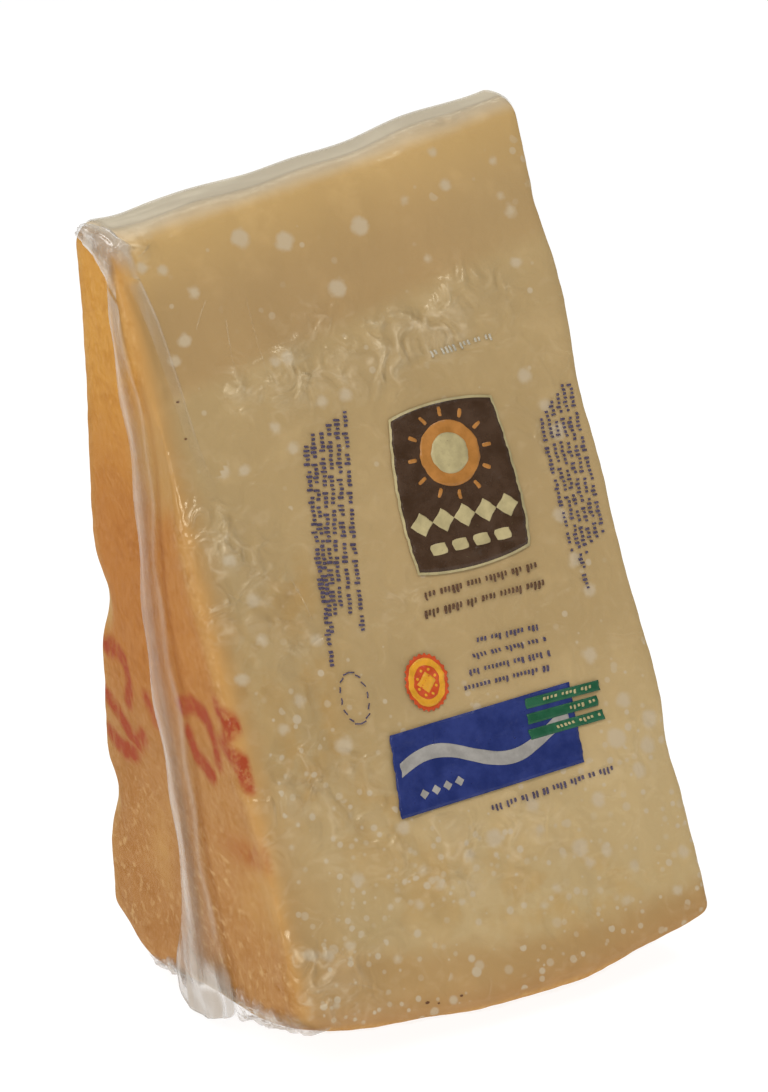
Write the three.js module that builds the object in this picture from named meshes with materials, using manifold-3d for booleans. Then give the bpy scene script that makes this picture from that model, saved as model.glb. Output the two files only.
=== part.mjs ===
// A wedge of hard cheese, shrink-sealed in clear film: half the height of a wheel, one narrow sector wide.
// Millimetres, +Z up. X runs along the wheel's axis, from the flat rind at -X to the cut side at +X.
// The two radial cuts face -Y and +Y, the blunt tip is up, and the wedge stands on the wheel's barrel side.
import * as THREE from "three";
import { mergeVertices } from "three/addons/utils/BufferGeometryUtils.js";
import Module from "manifold-3d";

// The wheel and the cut
const WHEEL_RADIUS = 220; // at the fullest point of the barrel side
const BARREL_DROP = 6.6; // how much the barrel side falls off towards both edges of the piece
const WIDTH = 103.6; // along the wheel's axis
const HALF_ANGLE = THREE.MathUtils.degToRad(15.1); // half of the sector
const TIP_RADIUS_RIND = 37.6; // where the tip was cut off, at the rind
const TIP_RADIUS_CUT = 24.8; // and at the cut side
const TIP_SAG = 1.2; // the tip's edge hangs this much below a straight line
const TIP_DROP = 0.9; // and drops by this towards the rind
const TIP_DROP_START = 0.5; // share of the half width where that drop starts
const TIP_CROWN = 1.8; // the tip swells a little between the two radial cuts
const TIP_SLOPE = 2.4; // and climbs this much towards the back cut
const FLAT_DEPTH = 1.2; // the barrel side is pressed flat this deep where it stands

// Rounding of the edges under the shrunk film
const EDGE_ROUND = 3.2; // at the cuts
const TIP_ROUND = 5; // at the tip
const HEEL_ROUND = 7.5; // where the flat rind meets the barrel side
const SIDE_ROUND = 0.42; // largest share of the tip's half width that its rounding may take
const HEEL_FADE = [0.2, 0.9]; // shares of the half sizes over which the heel's rounding sets in
const TIP_FADE = 0.7; // share of the half length above which the tip's swelling sets in

// Grid of the wedge
const STEPS_X = 22;
const STEPS_ANGLE = 10;
const STEPS_RADIUS = 36;
const EDGE_STEPS = 3; // grid steps spent on each rounded edge

// Relief of the cheese under the film: long shallow waves, as [height, wavelength, direction, phase]
const WAVES = [
  [0.35, 61, [0.8, 0.2, 0.6], 0.4],
  [0.3, 38, [-0.3, 0.7, 0.65], 2.1],
  [0.22, 24, [0.9, -0.4, 0.2], 4.0],
];

// Hollows broken out of the edges, as [angle share, radius, x share, depth, reach].
// A negative depth swells.
const HOLLOWS = [
  [0, 76, -1, -0.9, 38],
  [0.6, 214, -1, -2.6, 15],
  [1, 37, -0.84, 1.4, 6.5],
  [1, 126.5, -1, 2.9, 8],
  [1, 177.5, -1, 2.8, 7.5],
  [-1, 84, -1, 2.4, 20],
  [-1, 190, -0.86, 1.3, 12],
  [-1, 50, 1, 0.6, 9],
  [-1, 91, 1, 0.5, 9],
  [-1, 124, 1, 0.4, 9],
  [-1, 173, 1, 1.2, 8],
  [-1, 219, 0.72, 1.2, 20],
  [0.4, 30, 0.2, 0.9, 11],
  [0.4, 25, 0.95, 0.7, 8],
];

// Folded seam of the film, flat on the rind, and its loose end under the heel
const SEAM_TOP = 176;
const SEAM_END = 2.9;
const SEAM_TOP_Y = -10.5;
const SEAM_END_Y = -4.6;
const SEAM_TOP_WIDTH = 6.5;
const SEAM_LOW_WIDTH = 18.5;
const SEAM_TAB_WIDTH = 33;
const SEAM_TAB_HEIGHT = 20; // height over which the seam flares into the tab
const SEAM_TAB_FADE = [-6, 10]; // heights within it between which the flare grows
const SEAM_TAB_CURVE = 7; // height of the tab's rounded end
const SEAM_TAB_TIP = 0.72; // square of the share of its width that the end keeps
const SEAM_TAB_RISE = 6.5; // how much its end rises towards the front
const SEAM_TOP_PROUD = 0.9;
const SEAM_LOW_PROUD = 1.7;
const SEAM_SUNK = 1.4;
const SEAM_TAB_SUNK = 0.3;
const SEAM_WRINKLE = 0.35;
const SEAM_WRINKLES = 7.5;
const TAB_WRINKLE = 0.5;
const TAB_WRINKLES = 7;
const SEAM_STEPS = 30;

// Crumpled end seal, laid on the heel
const SKIRT_RISE = 11; // up the rind from the barrel side
const SKIRT_RUN = 8; // under the barrel side from the rind
const SKIRT_PROUD = 1.2;
const SKIRT_SUNK = 3.2;
const SKIRT_BOW = 2.2;
const SKIRT_REACH = 0.97; // share of the sector that it spans
const SKIRT_CRUMPLE = 0.7;
const SKIRT_CRUMPLES = 7.3;
const SKIRT_SLANT = 5;
const SKIRT_STEPS = 26;

// Bunched film at the tip's rind corner
const GATHER_CENTRE = [-48.4, -0.8, 179.6];
const GATHER_RADII = [4.6, 12.6, 3.9];
const GATHER_TILT = 0.36; // its back end is the higher one
const GATHER_CRUMPLE = 0.9;
const GATHER_CRUMPLES = 3.5;
const GATHER_SLANT = 4;

// Fold of film that runs from the bunch down the front cut, between two points of x and radius
const WING_START = [-48.8, 37];
const WING_END = [-41.2, 106];
const WING_WIDTH = 3.4;
const WING_PROUD = 0.8;
const WING_SUNK = 2;
const WING_FADE = 0.7; // share of its length after which it flattens out
const WING_CROWN = 0.5; // share of its height that falls off towards its sides
const WING_STEPS = 16;

// Moves the wheel's own axes to the middle of the finished pack's footprint
const FRAME_SHIFT = [1.043, 0.185, -FLAT_DEPTH];

const { lerp, clamp, smoothstep } = THREE.MathUtils;

const wasm = await Module();
wasm.setup();

function solidFrom(geometry) {
  const bare = new THREE.BufferGeometry();
  bare.setAttribute("position", geometry.getAttribute("position"));
  bare.setIndex(geometry.getIndex());
  const merged = mergeVertices(bare, 1e-3);
  const vertProperties = merged.attributes.position.array;
  const triVerts = new Uint32Array(merged.index.array);
  return new wasm.Manifold(new wasm.Mesh({ numProp: 3, vertProperties, triVerts }));
}

function geometryFrom(solid) {
  const mesh = solid.getMesh();
  const geometry = new THREE.BufferGeometry();
  geometry.setAttribute("position", new THREE.BufferAttribute(mesh.vertProperties, 3));
  geometry.setIndex(new THREE.BufferAttribute(mesh.triVerts, 1));
  return geometry;
}

// Moves every point of a box whose sides run from -1 to 1, and gives it back as a solid.
function shapedBox(stepsA, stepsB, stepsC, place) {
  const box = new THREE.BoxGeometry(2, 2, 2, stepsA, stepsB, stepsC);
  const points = box.getAttribute("position");
  const point = new THREE.Vector3();
  for (let i = 0; i < points.count; i += 1) {
    point.fromBufferAttribute(points, i);
    point.copy(place(point.x, point.y, point.z));
    points.setXYZ(i, point.x, point.y, point.z);
  }
  return solidFrom(box);
}

function tipRadius(x) {
  const share = x / (WIDTH / 2);
  const sag = TIP_SAG * (1 - share * share) + TIP_DROP * smoothstep(-share, TIP_DROP_START, 1);
  return lerp(TIP_RADIUS_RIND, TIP_RADIUS_CUT, (share + 1) / 2) + sag;
}

function barrelRadius(x) {
  const share = x / (WIDTH / 2);
  return WHEEL_RADIUS - BARREL_DROP * share * share;
}

// A point given by its distance along the wheel's axis, its radius and its angle from the vertical.
function wheelPoint(x, radius, angle) {
  return new THREE.Vector3(
    x,
    radius * Math.sin(angle),
    WHEEL_RADIUS - radius * Math.cos(angle),
  );
}

// Spends EDGE_STEPS of the grid on the last share of each side, where the edge is round.
function spread(t, steps, share) {
  const edge = (2 * EDGE_STEPS) / steps;
  const inner = 1 - edge;
  if (Math.abs(t) <= inner) return (t / inner) * (1 - share);
  return Math.sign(t) * (1 - share + (share * (Math.abs(t) - inner)) / edge);
}

function relief(point) {
  let height = 0;
  for (const [rise, length, direction, phase] of WAVES) {
    const along = point.x * direction[0] + point.y * direction[1] + point.z * direction[2];
    height += rise * Math.sin((2 * Math.PI * along) / length + phase);
  }
  for (const [angleShare, radius, xShare, depth, reach] of HOLLOWS) {
    const middle = wheelPoint((xShare * WIDTH) / 2, radius, angleShare * HALF_ANGLE);
    height -= depth * Math.exp(-point.distanceToSquared(middle) / (reach * reach));
  }
  return height;
}

function wedgePoint(u, v, up) {
  const w = -up; // -1 at the tip, 1 at the barrel side
  const lengthHalf = (WHEEL_RADIUS - tipRadius(0)) / 2;
  const heel = u < 0 && w > 0 ? smoothstep(-u, ...HEEL_FADE) * smoothstep(w, ...HEEL_FADE) : 0;
  const xShare = lerp(EDGE_ROUND, HEEL_ROUND, heel) / (WIDTH / 2);
  const radiusShare = lerp(w < 0 ? TIP_ROUND : EDGE_ROUND, HEEL_ROUND, heel) / lengthHalf;
  const sideHalf = lerp(tipRadius(0), WHEEL_RADIUS, (w + 1) / 2) * HALF_ANGLE;
  const angleShare = Math.min(EDGE_ROUND / sideHalf, SIDE_ROUND);
  const shares = [xShare, angleShare, radiusShare];
  const steps = [STEPS_X, STEPS_ANGLE, STEPS_RADIUS];
  const spot = [u, v, w].map((t, i) => spread(t, steps[i], shares[i]));
  const core = spot.map((t, i) => clamp(t, shares[i] - 1, 1 - shares[i]));
  const away = new THREE.Vector3(...spot.map((t, i) => (t - core[i]) / shares[i])).normalize();
  const round = away.toArray().map((t, i) => core[i] + shares[i] * t);

  const x = (round[0] * WIDTH) / 2;
  const radius = lerp(tipRadius(x), barrelRadius(x), (round[2] + 1) / 2);
  const angle = round[1] * HALF_ANGLE;
  const swell = TIP_CROWN * (1 - round[1] * round[1]) + (TIP_SLOPE * (round[1] + 1)) / 2;
  const crown = swell * smoothstep(-round[2], TIP_FADE, 1);
  const point = wheelPoint(x, radius - crown, angle);

  const across = new THREE.Vector3(0, Math.cos(angle), Math.sin(angle));
  const outward = new THREE.Vector3(0, Math.sin(angle), -Math.cos(angle));
  const normal = new THREE.Vector3(away.x, 0, 0);
  normal.addScaledVector(across, away.y).addScaledVector(outward, away.z);
  point.addScaledVector(normal, relief(point));
  return point;
}

function wedge() {
  return shapedBox(STEPS_X, STEPS_ANGLE, STEPS_RADIUS, wedgePoint);
}

// The seam is a flat strip on the rind. Below the heel it hangs free as a rounded tab.
function seam() {
  return shapedBox(4, 1, SEAM_STEPS, (u, v, w) => {
    const share = (1 - w) / 2; // 0 at the top
    const z = lerp(SEAM_TOP, SEAM_END, share);
    const flare = smoothstep(SEAM_TAB_HEIGHT - z, ...SEAM_TAB_FADE);
    const round = Math.sqrt(clamp((z - SEAM_END) / SEAM_TAB_CURVE, 0, 1) + SEAM_TAB_TIP);
    const strip = lerp(SEAM_TOP_WIDTH, SEAM_LOW_WIDTH, share);
    const width = lerp(strip, SEAM_TAB_WIDTH, flare) * Math.min(round, 1);
    const waves = 2 * Math.PI * SEAM_WRINKLES * share;
    const ripple = SEAM_WRINKLE * u * Math.sin(waves);
    const wrinkle = ripple + TAB_WRINKLE * flare * Math.sin(u * TAB_WRINKLES + waves);
    const inner = lerp(-SEAM_SUNK, -SEAM_TAB_SUNK, flare) + wrinkle * flare;
    const middle = lerp(SEAM_END_Y, SEAM_TOP_Y, (1 - share) ** 2);
    const fall = clamp((SEAM_TAB_HEIGHT - z) / (SEAM_TAB_HEIGHT - SEAM_END), 0, 1);
    const rise = SEAM_TAB_RISE * fall * Math.max(-u, 0);
    const point = new THREE.Vector3(-WIDTH / 2, middle + (u * width) / 2, z + rise);
    const outer = lerp(SEAM_TOP_PROUD, SEAM_LOW_PROUD, share) + wrinkle;
    point.x -= relief(point) + (v > 0 ? outer : inner);
    return point;
  });
}

// The end seal lies on the heel as a crumpled band from one radial cut to the other.
function skirt() {
  return shapedBox(SKIRT_STEPS, 4, 1, (u, v, w) => {
    const angle = -u * HALF_ANGLE * SKIRT_REACH;
    const edge = barrelRadius(WIDTH / 2);
    const share = (v + 1) / 2; // 0 on the barrel side, 1 on the rind
    const hump = Math.sin(share * Math.PI);
    const waves = Math.PI * SKIRT_CRUMPLES * u + SKIRT_SLANT * share;
    const depth = w > 0 ? SKIRT_PROUD + SKIRT_CRUMPLE * Math.sin(waves) * hump : -SKIRT_SUNK;
    const bow = SKIRT_BOW * hump;
    const x = lerp(SKIRT_RUN, 0, share) - depth * Math.SQRT1_2 - bow;
    const radius = edge - lerp(0, SKIRT_RISE, share) + depth * Math.SQRT1_2 + bow;
    return wheelPoint(x - WIDTH / 2, radius, angle);
  });
}

function gather() {
  const ball = new THREE.SphereGeometry(1, 20, 12);
  const points = ball.getAttribute("position");
  const point = new THREE.Vector3();
  for (let i = 0; i < points.count; i += 1) {
    point.fromBufferAttribute(points, i);
    const waves = Math.PI * GATHER_CRUMPLES * point.y + GATHER_SLANT * point.z;
    const crumple = GATHER_CRUMPLE * Math.sin(waves) * (1 - point.y * point.y);
    const radii = GATHER_RADII.map((radius, axis) => radius + (axis === 1 ? 0 : crumple));
    points.setXYZ(i, point.x * radii[0], point.y * radii[1], point.z * radii[2]);
  }
  ball.rotateX(GATHER_TILT);
  ball.translate(...GATHER_CENTRE);
  return solidFrom(ball);
}

function wing() {
  return shapedBox(2, 1, WING_STEPS, (u, v, w) => {
    const share = (1 - w) / 2; // 0 at the bunch
    const x = lerp(WING_START[0], WING_END[0], share) + (u * WING_WIDTH) / 2;
    const radius = lerp(WING_START[1], WING_END[1], share);
    const fade = 1 - smoothstep(share, WING_FADE, 1);
    const point = wheelPoint(x, radius, -HALF_ANGLE);
    const proud = v < 0 ? WING_PROUD * fade * (1 - WING_CROWN * u * u) : -WING_SUNK;
    const depth = relief(point) + proud;
    point.y -= depth * Math.cos(HALF_ANGLE);
    point.z += depth * Math.sin(HALF_ANGLE);
    return point;
  });
}

// Everything below the flat that the pack stands on.
function belowFlat() {
  const side = 2 * WHEEL_RADIUS;
  const block = new THREE.BoxGeometry(side, side, side);
  block.translate(0, 0, FLAT_DEPTH - side / 2);
  return solidFrom(block);
}

function vacuumPack() {
  const folds = [seam(), skirt(), gather(), wing()];
  const joined = folds.reduce((pack, fold) => pack.add(fold), wedge());
  const geometry = geometryFrom(joined.subtract(belowFlat()));
  geometry.translate(...FRAME_SHIFT);
  geometry.computeVertexNormals();
  const film = new THREE.MeshStandardMaterial({ color: 0xc9a36b, roughness: 0.3, metalness: 0 });
  const mesh = new THREE.Mesh(geometry, film);
  mesh.name = "vacuum_pack";
  return mesh;
}

const part = new THREE.Group();
part.add(vacuumPack());

export default part;
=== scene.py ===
"""A wedge of hard cheese with its rind, shrink-sealed in clear film with a folded seam and printed fields."""

import math

import bmesh
import bpy
import numpy as np
from mathutils import Matrix, Vector, noise


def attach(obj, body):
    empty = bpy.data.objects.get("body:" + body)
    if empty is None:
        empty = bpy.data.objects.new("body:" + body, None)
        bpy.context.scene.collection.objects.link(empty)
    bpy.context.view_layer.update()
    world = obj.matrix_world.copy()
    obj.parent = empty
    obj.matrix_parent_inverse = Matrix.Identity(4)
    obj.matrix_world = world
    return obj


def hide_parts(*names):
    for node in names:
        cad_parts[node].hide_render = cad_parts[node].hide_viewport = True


bl_info = {
    "name": "Sealed cheese wedge",
    "version": (1, 0, 0),
    "blender": (4, 5, 0),
    "location": "View3D > Sidebar > Cheese",
    "description": "Builds a vacuum-packed wedge of hard cheese piece by piece",
    "category": "Object",
}

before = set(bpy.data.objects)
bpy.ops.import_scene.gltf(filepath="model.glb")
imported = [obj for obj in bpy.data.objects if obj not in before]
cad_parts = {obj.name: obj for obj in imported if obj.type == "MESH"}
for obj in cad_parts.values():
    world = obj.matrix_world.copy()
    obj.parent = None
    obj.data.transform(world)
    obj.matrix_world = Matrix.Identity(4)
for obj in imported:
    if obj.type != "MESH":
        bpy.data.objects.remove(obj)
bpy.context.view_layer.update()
BODY = "root"
NODE = "vacuum_pack"
MM = 0.001

# The wheel and the cut, in millimetres: X along the wheel's axis, from the rind to the cut side
WHEEL_RADIUS = 220.0
BARREL_DROP = 6.6
HALF_WIDTH = 51.8
HALF_ANGLE = math.radians(15.1)
TIP_RADIUS_RIND = 37.6
TIP_RADIUS_CUT = 24.8
TIP_SAG = 1.2
TIP_DROP = 0.9
TIP_DROP_START = 0.5
TIP_CROWN = 1.8
TIP_SLOPE = 2.4
FLAT_DEPTH = 1.2
EDGE_ROUND = 3.2
TIP_ROUND = 5.0
HEEL_ROUND = 7.5
SIDE_ROUND = 0.42
HEEL_FADE = (0.2, 0.9)
TIP_FADE = 0.7
FRAME_SHIFT = np.array([1.043, 0.185, -FLAT_DEPTH])

# Shares of a grid's half side that lie on the rounded edges: in the wedge's own rule, and in the fine grids
RULE_EDGES = (3 / 11, 0.6, 1 / 6)
FINE_EDGES = (0.1, 0.2, 0.08)
FINE_STEPS = (118, 54, 204)

FILM_SUNK = 0.12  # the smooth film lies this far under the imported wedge's surface
CHEESE_SUNK = FILM_SUNK + 0.1  # and the cheese this far, besides its clearance
CUT_SHARE = 0.93  # the cut faces lie beyond this share of the wedge's half angle
NO_CRYSTAL = -3.0
INK_THICKNESS = 0.05
INK_WIDTH = 1.85

# Long waves of the surface, as (height, wavelength, direction, phase)
WAVES = (
    (0.35, 61, (0.8, 0.2, 0.6), 0.4), (0.3, 38, (-0.3, 0.7, 0.65), 2.1), (0.22, 24, (0.9, -0.4, 0.2), 4.0),
)

# Hollows and swells of the edges, as (angle share, radius, x share, depth, reach)
HOLLOWS = (
    (0, 76, -1, -0.9, 38), (0.6, 214, -1, -2.6, 15), (1, 37, -0.84, 1.4, 6.5), (1, 126.5, -1, 2.9, 8),
    (1, 177.5, -1, 2.8, 7.5), (-1, 84, -1, 2.4, 20), (-1, 190, -0.86, 1.3, 12), (-1, 50, 1, 0.6, 9),
    (-1, 91, 1, 0.5, 9), (-1, 124, 1, 0.4, 9), (-1, 173, 1, 1.2, 8), (-1, 219, 0.72, 1.2, 20),
    (0.4, 30, 0.2, 0.9, 11), (0.4, 25, 0.95, 0.7, 8),
)

# Large crystals on the front cut, as (x, radius, size). The other cut faces reuse them
LARGE_CRYSTALS = (
    (-45.5, 45.9, 1.3), (-41.2, 47.2, 1.2), (-35.4, 53.2, 1.4), (-21.7, 43.8, 2.2), (-11.6, 46.4, 2.2),
    (7, 46.3, 2.1), (-1.8, 58.8, 2.2), (11.6, 60.3, 2), (29.5, 41.3, 1.4), (28, 33.7, 1), (18.8, 42.8, 1.1),
    (43.8, 49.8, 1.4), (42.6, 46.1, 0.9), (42.3, 37.9, 0.9), (21.3, 56.5, 1), (41.9, 61.4, 1.2),
    (-39.9, 62.9, 1.5), (-43, 66.7, 1.3), (-20.8, 71.7, 1.3), (-17.6, 71.5, 1.6), (-6.6, 82, 1.5),
    (-12.3, 82.4, 1.2), (-24.3, 85.7, 1.4), (-38.3, 91.7, 1.9), (-33.5, 93.1, 1.2), (-21.6, 90.8, 1.5),
    (46.6, 167.7, 2.1), (37.2, 169.8, 2.4), (41, 162, 1.9), (44.8, 173.2, 2), (22.3, 191.2, 2.1),
    (2.5, 183.9, 2), (13.3, 179.2, 1.8), (28.9, 193.3, 1.5), (24.1, 194.9, 1.2), (14.3, 198.2, 1.1),
    (10.2, 201, 1), (34.4, 198.2, 1.3), (46.8, 198.2, 1.5), (-18.1, 176.5, 1.6), (-4.3, 186, 1.3),
    (-12.9, 190.5, 1.2), (-16, 186.4, 1.3), (-18.6, 193.5, 1.2), (-30.8, 184.8, 1.5), (-45.5, 197.5, 1.5),
    (-41.7, 198.5, 1.4), (-36.3, 197.8, 1.1), (-26.6, 155.9, 1.9), (37.9, 129.1, 1.8), (39.7, 136.4, 1.5),
    (35.8, 150.4, 1.9), (40.8, 178, 1.7), (37, 118.6, 1.9), (42.1, 100.2, 2), (40.7, 94.1, 1.5),
    (37.5, 86.5, 1.7), (-34.2, 144, 1.6), (-39.7, 149.4, 1.3), (-46, 136.7, 1.5), (-39.4, 129.5, 1.4),
    (-38.7, 120.8, 1.6), (-42.1, 111.2, 1.5), (-26.8, 132.5, 1.5), (29.5, 182.1, 1.7), (13.5, 184.9, 1.1),
    (30.6, 205.2, 1.2), (43.2, 206.2, 1.2), (-26.3, 203.7, 1),
)
SPECKS = (  # (x, radius, size)
    (-44.2, 75.5, 0.4), (-44.3, 83.6, 0.35), (-22, 214.4, 0.5), (-14, 215, 0.4), (-19.5, 215.2, 0.3),
)
PUCKERS = (  # the film's puckers, as (x, radius, reach across, reach down, strength)
    (-25.5, 71.4, 6, 4, 0.8), (-29.8, 75.7, 6, 3, 0.7), (-16.2, 74.4, 7, 6, 1), (-1.1, 76.5, 7, 7, 1),
    (9.9, 72.9, 7, 6, 0.9), (18.5, 72.8, 8, 6, 0.8), (29, 66, 8, 7, 0.8), (-45, 106, 6, 6, 0.9),
    (-41, 114, 10, 10, 0.6), (-45, 122.5, 5, 7, 0.7), (-31, 128, 8, 11, 0.6), (-8, 128, 9, 6, 0.35),
    (38, 100, 6, 12, 0.4), (-30.4, 162.7, 10, 10, 0.7), (-42, 168, 8, 11, 0.6), (-12, 181, 13, 9, 0.5),
    (4, 188, 15, 9, 0.5), (-47, 204, 5, 9, 0.9), (-37, 203, 9, 8, 0.6), (-44.5, 42, 4, 4, 0.7),
    (-10, 64, 10, 5, 0.4), (36, 176, 10, 8, 0.3), (4, 165, 18, 7, 0.35),
)
SCRATCHES = (  # from (x, radius) to (x, radius)
    (-46, 43.5, -42.3, 40.9), (-45.3, 39.7, -44.7, 37.5), (-43.2, 38.4, -41.8, 38.9),
    (-36.9, 61.3, -33.2, 55.4), (-23.4, 73.5, -24.1, 55.8), (-30.4, 70.6, -29.8, 60.1),
    (-44.6, 118, -40.2, 121.6), (-39.5, 205.5, -31, 209.8), (-41.6, 196.2, -36.9, 201.3),
    (-26.8, 128.2, -29.5, 117.8),
)
FOLD_RADIUS = 66.0  # where the film was folded over the top of the front cut, at the middle
FOLD_SLOPE = -0.2

# Ink on the rind, as open strokes of (y, z)
INK_STROKES = (
    ((31.5, 85), (25, 85.6), (19.2, 83.4), (18.2, 78), (21, 74.2)),
    ((36.5, 72.5), (30, 70.4), (24.5, 66.6), (18.5, 64.2), (14.6, 66.8)),
    ((37, 63.4), (29.5, 60.8), (22, 61.2)),
    ((7.6, 76.8), (4.8, 72.6)),
    ((-11.6, 78.6), (-17, 80.4), (-23.6, 79.0), (-27.6, 74.6), (-28, 69.4)),
    ((-23, 65.4), (-15.2, 68.4), (-13, 73)),
    ((-32.4, 82.6), (-36.8, 78.6), (-33.2, 74.6), (-38.8, 70.8), (-41, 66.4)),
)
SMUDGE = (-36, 49.8, 11.5, 3.4, 1)  # the rind's browned patch, as (y, z, reach in y, reach in z, strength)
CRUMB_PATCHES = (  # crumbly hollows in the paste, given as the puckers are
    (-31.5, 146, 8, 21, 1), (-38, 160, 9, 9, 1), (-24, 172, 10, 9, 1), (-10, 190, 18, 10, 1),
    (-44, 136, 5, 10, 1), (-30, 120, 7, 8, 1), (18, 200, 22, 8, 1),
)

# Folded seam and its loose end
SEAM_TOP = 176.0
SEAM_END = 2.9
SEAM_TOP_Y = -10.5
SEAM_END_Y = -4.6
SEAM_TOP_WIDTH = 6.5
SEAM_LOW_WIDTH = 18.5
SEAM_TAB_WIDTH = 29.5
SEAM_TAB_HEIGHT = 20.0
SEAM_TAB_FADE = (-14.0, 4.0)
SEAM_TAB_SHIFT = 2.0
SEAM_TAB_CURVE = 7.0
SEAM_TAB_TIP = 0.72
SEAM_TAB_RISE = 3.4
SEAM_TOP_PROUD = 0.9
SEAM_LOW_PROUD = 1.7
SEAM_WRINKLE = 0.35
SEAM_WRINKLES = 7.5
TAB_WRINKLE = 0.22
TAB_WRINKLES = 7.0

# Crumpled end seal on the heel
SKIRT_RISE = 9.5
SKIRT_RUN = 7.0
SKIRT_PROUD = 1.2
SKIRT_BOW = 1.4
SKIRT_REACH = 0.97

# Bunched film at the tip's rind corner: its left and right borders over the box's sides
BUNCH_LEFT = (
    (-1, 0.98, 0.95), (-1, 0.6, 0.945), (-1, 0.1, 0.93), (-1, -0.35, 0.905), (-1, -0.66, 0.875),
    (-1, -0.82, 0.845), (-1, -0.86, 0.82),
)
BUNCH_RIGHT = (
    (-0.97, 0.98, 1), (-0.95, 0.6, 1), (-0.94, 0, 1), (-0.92, -0.6, 1), (-0.89, -1, 0.985), (-0.87, -1, 0.92),
    (-0.86, -1, 0.855),
)
BUNCH_RADIUS = 48.0  # where the bunched film ends on the front cut
WING_WIDTH = 3.4


def linear(*channels):
    """Turns display values from 0 to 255 into the linear values that a colour socket takes."""
    shares = [c / 255 for c in channels]
    return tuple(s / 12.92 if s <= 0.04045 else ((s + 0.055) / 1.055) ** 2.4 for s in shares)


def colour_property(name, description, *channels):
    default = linear(*channels)
    return bpy.props.FloatVectorProperty(
        name=name, description=description, subtype="COLOR", size=3, min=0, max=1, default=default
    )


def number_property(name, description, default, **options):
    return bpy.props.FloatProperty(name=name, description=description, default=default, **options)


class CheeseSettings(bpy.types.PropertyGroup):
    paste: colour_property("Paste", "Cut cheese", 173, 148, 105)
    paste_warm: colour_property("Warm paste", "Paste above the film's fold", 168, 139, 96)
    paste_low: colour_property("Pale paste", "Crumbly paste near the heel", 187, 163, 119)
    paste_deep: colour_property("Deep paste", "Paste near the rind", 173, 141, 94)
    tip: colour_property("Tip", "Paste of the small face at the tip", 199, 183, 157)
    # Painted highlight: the front cut grows paler and warmer towards the tip's edge, as if its rounding
    # catches the light from above
    tip_edge_highlight: colour_property("Glow", "Paste at the tip's edge", 194, 161, 106)
    rim: colour_property("Rim", "Paste right at the rind of the heel", 170, 129, 82)
    # Painted highlight on the rounded corner between the rind and the front cut, also laid on the rind near
    # the cut faces
    edge_highlight: colour_property("Gold", "Worn corner between the rind and the front cut", 188, 143, 84)
    rind: colour_property("Rind", "Outer skin of the wheel", 177, 115, 55)
    rind_top: colour_property("Upper rind", "Rind near the tip", 200, 144, 65)
    rind_low: colour_property("Lower rind", "Rind near the heel", 173, 122, 70)
    ink: colour_property("Ink", "Smudged marks on the rind", 156, 66, 38)
    crystal: colour_property("Crystal", "White crystal spots", 186, 169, 142)


class FilmSettings(bpy.types.PropertyGroup):
    clearance: number_property("Clearance", "Gap between the cheese and the film", 0.2 * MM, unit="LENGTH")
    wrinkle: number_property("Wrinkle", "Height of the film's soft wrinkles", 0.45 * MM, unit="LENGTH")
    haze: colour_property("Haze", "Colour of doubled, milky film", 204, 194, 180)
    tip_haze: colour_property("Tip haze", "Colour of the milky film over the tip", 210, 200, 178)
    roughness: number_property("Roughness", "Roughness of the clear film", 0.14, subtype="FACTOR")


class PrintSettings(bpy.types.PropertyGroup):
    label: colour_property("Label", "Dark field of the upper label", 62, 40, 20)
    border: colour_property("Border", "Pale border and motifs", 176, 162, 118)
    ochre: colour_property("Ochre", "Warm disc on the label", 168, 112, 48)
    banner: colour_property("Banner", "Blue field", 26, 42, 104)
    pale: colour_property("Pale blue", "Wave on the blue field", 150, 146, 140)
    green: colour_property("Green", "Staggered bars", 22, 84, 54)
    red: colour_property("Red", "Disc and its core", 190, 70, 24)
    yellow: colour_property("Yellow", "Ring of the disc", 214, 150, 34)
    blue_text: colour_property("Blue dashes", "Rows of dashes", 66, 58, 92)
    brown_text: colour_property("Brown dashes", "Rows of dashes under the label", 92, 60, 38)
    white_text: colour_property("Pale dashes", "Faint row of dashes near the fold", 196, 190, 172)


class StageSettings(bpy.types.PropertyGroup):
    floor: colour_property("Floor", "Plain pale floor", 128, 128, 128)
    world: number_property("Surround", "Strength of the pale surround", 0.42)
    key: number_property("Key", "Power of the main soft light", 7.5, unit="POWER")
    lens: number_property("Lens", "Focal length", 128.1, unit="CAMERA")


# ---- shapes, in millimetres


def lerp(low, high, share):
    return low + (high - low) * share


def smooth(value, low, high):
    share = np.clip((value - low) / (high - low), 0, 1)
    return share * share * (3 - 2 * share)


def bump(distance):
    return np.exp(-distance * distance)


def tip_radius(x):
    share = x / HALF_WIDTH
    sag = TIP_SAG * (1 - share * share) + TIP_DROP * smooth(-share, TIP_DROP_START, 1)
    return lerp(TIP_RADIUS_RIND, TIP_RADIUS_CUT, (share + 1) / 2) + sag


def barrel_radius(x):
    return WHEEL_RADIUS - BARREL_DROP * (x / HALF_WIDTH) ** 2


def wheel_point(x, radius, angle):
    height = WHEEL_RADIUS - radius * np.cos(angle)
    return np.stack(np.broadcast_arrays(x, radius * np.sin(angle), height), -1).astype(float)


def relief(points):
    height = np.zeros(len(points))
    for rise, length, direction, phase in WAVES:
        height += rise * np.sin(2 * math.pi * (points @ np.array(direction)) / length + phase)
    for angle_share, radius, x_share, depth, reach in HOLLOWS:
        middle = wheel_point(x_share * HALF_WIDTH, radius, angle_share * HALF_ANGLE)
        height -= depth * np.exp(-((points - middle) ** 2).sum(-1) / (reach * reach))
    return height


def cloud(points, size, seed=0.0, stretch=(1, 1, 1)):
    """Soft noise from -1 to 1 with features of the given size, optionally stretched along the axes."""
    scaled = points / (size * np.array(stretch)) + seed
    return np.array([noise.noise(p) for p in scaled.tolist()])


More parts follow.
